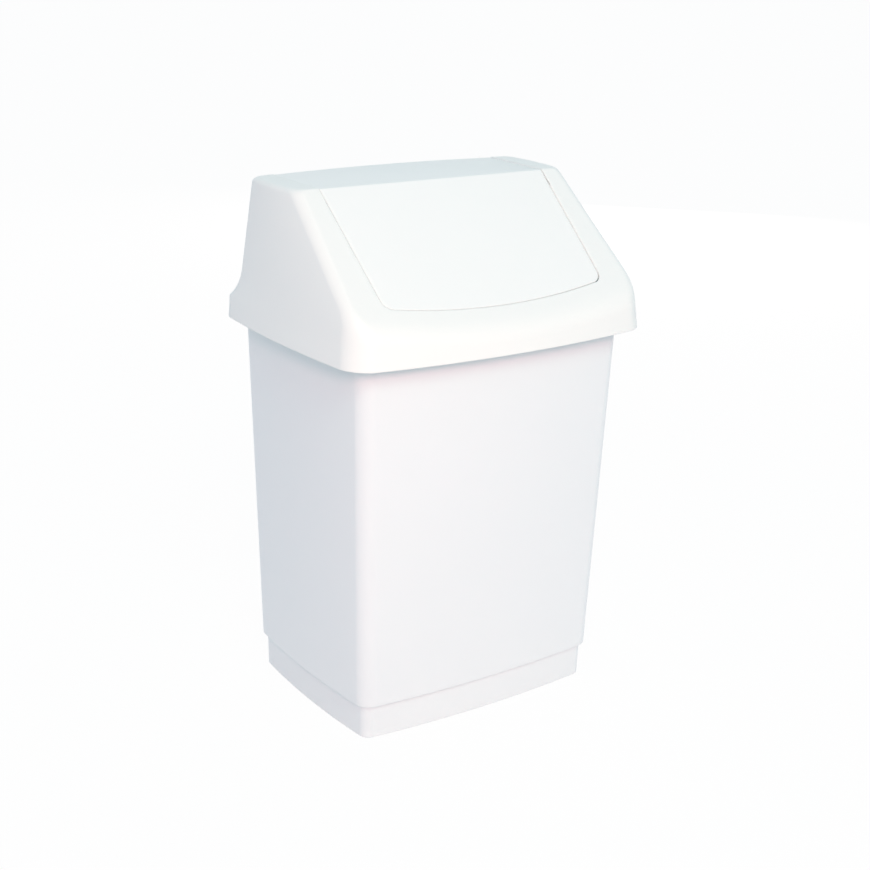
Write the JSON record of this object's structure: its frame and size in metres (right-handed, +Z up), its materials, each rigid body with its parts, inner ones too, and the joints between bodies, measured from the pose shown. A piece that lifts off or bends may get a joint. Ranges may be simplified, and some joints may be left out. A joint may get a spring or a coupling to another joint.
{
  "type": "swing-lid bin",
  "caption": "White plastic kitchen bin: tapered bowed body on a recessed plinth, lift-off hood with a sloping front, and a saddle-shaped flap that swings both ways on side pivots.",
  "frame": {"origin": "centre of the flat underside, at the level of the surface the bin stands on", "axes": "+Z up, the sloping front faces -Y, X runs across the width along the flap's pivot axis"},
  "size_m": [0.275, 0.2202, 0.4108],
  "materials": {
    "body_plastic": "semi-gloss moulded white with a cool cast",
    "hood_plastic": "satin moulded white with a fine texture",
    "flap_plastic": "satin moulded white with a fine texture"
  },
  "bodies": {
    "bin": {"bin_body": "body_plastic"},
    "hood": {"hood": "hood_plastic"},
    "flap": {"flap": "flap_plastic"}
  },
  "joints": [
    {"name": "hood_lift", "type": "slide", "parent": "bin", "child": "hood", "axis": [0, 0, 1], "range_m": [0, 0.15]},
    {"name": "flap_swing", "type": "hinge", "parent": "hood", "child": "flap", "pos_m": [0, 0.0112, 0.3988], "axis": [1, 0, 0], "range_deg": [-74, 79]}
  ]
}
